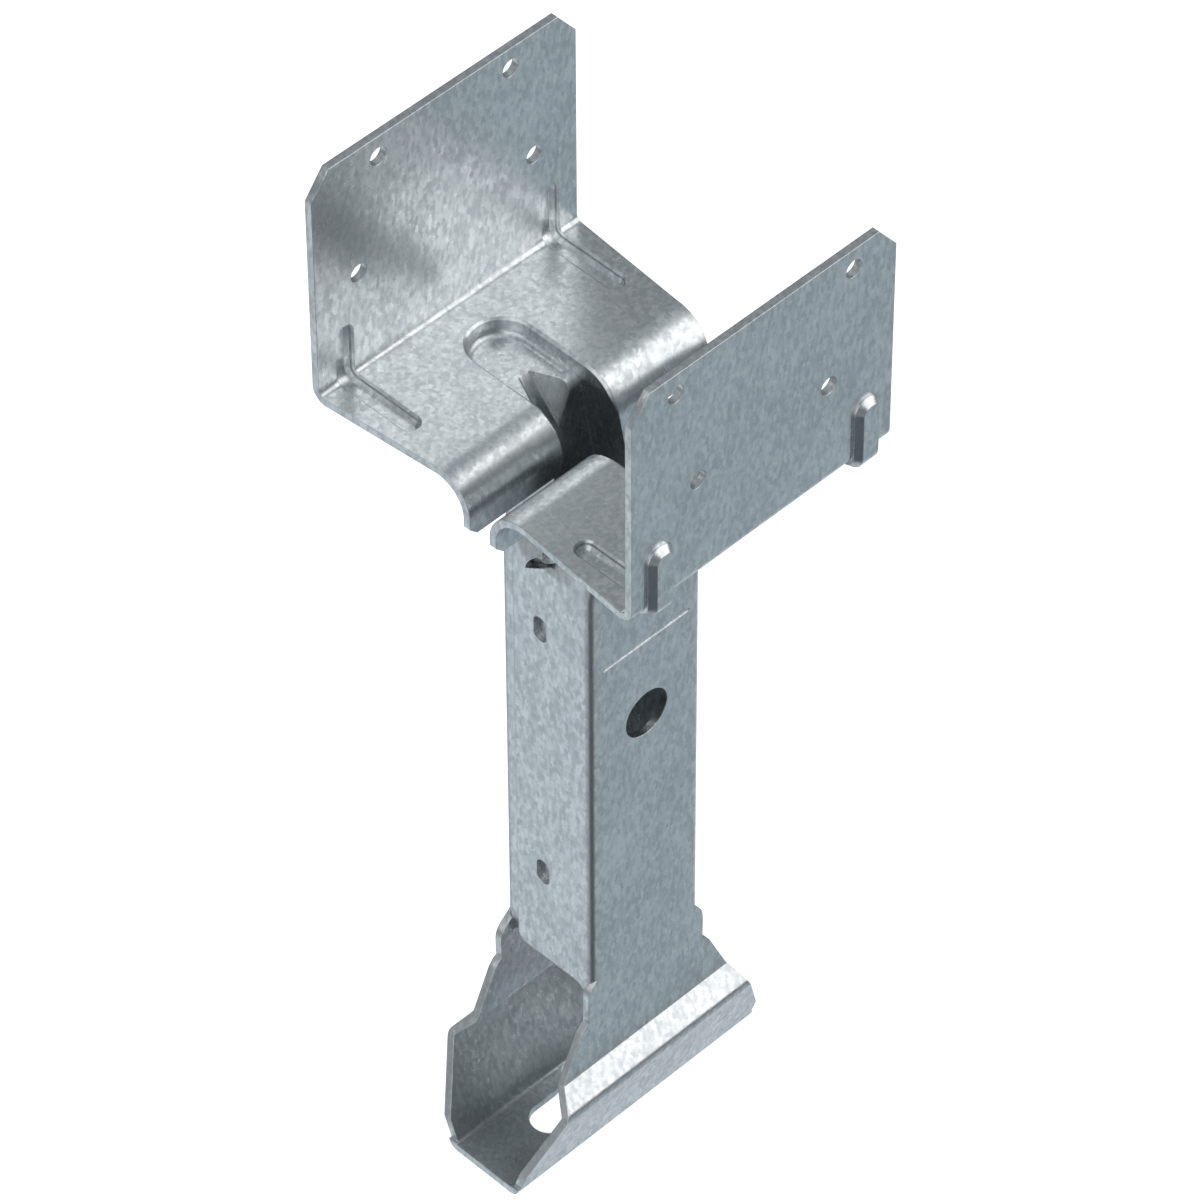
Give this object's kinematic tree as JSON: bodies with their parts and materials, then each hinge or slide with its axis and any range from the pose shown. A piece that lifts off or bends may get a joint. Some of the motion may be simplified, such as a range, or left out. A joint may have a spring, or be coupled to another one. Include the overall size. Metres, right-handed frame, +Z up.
{
  "type": "timber post base",
  "caption": "Elevated timber post base folded from one galvanised strip: nail-plate saddle on a box stem with a flared foot to cast into concrete.",
  "frame": {"origin": "centre of the underside of the foot's bottom plate", "axes": "+Z up along the stem, X from the back nail plate to the front nail plate, Y along the fold lines"},
  "size_m": [0.0984, 0.0762, 0.2774],
  "materials": {
    "galvanised_sheet": "galvanised steel, fine mottled zinc"
  },
  "bodies": {
    "root": {"post_base": "galvanised_sheet"}
  },
  "joints": []
}
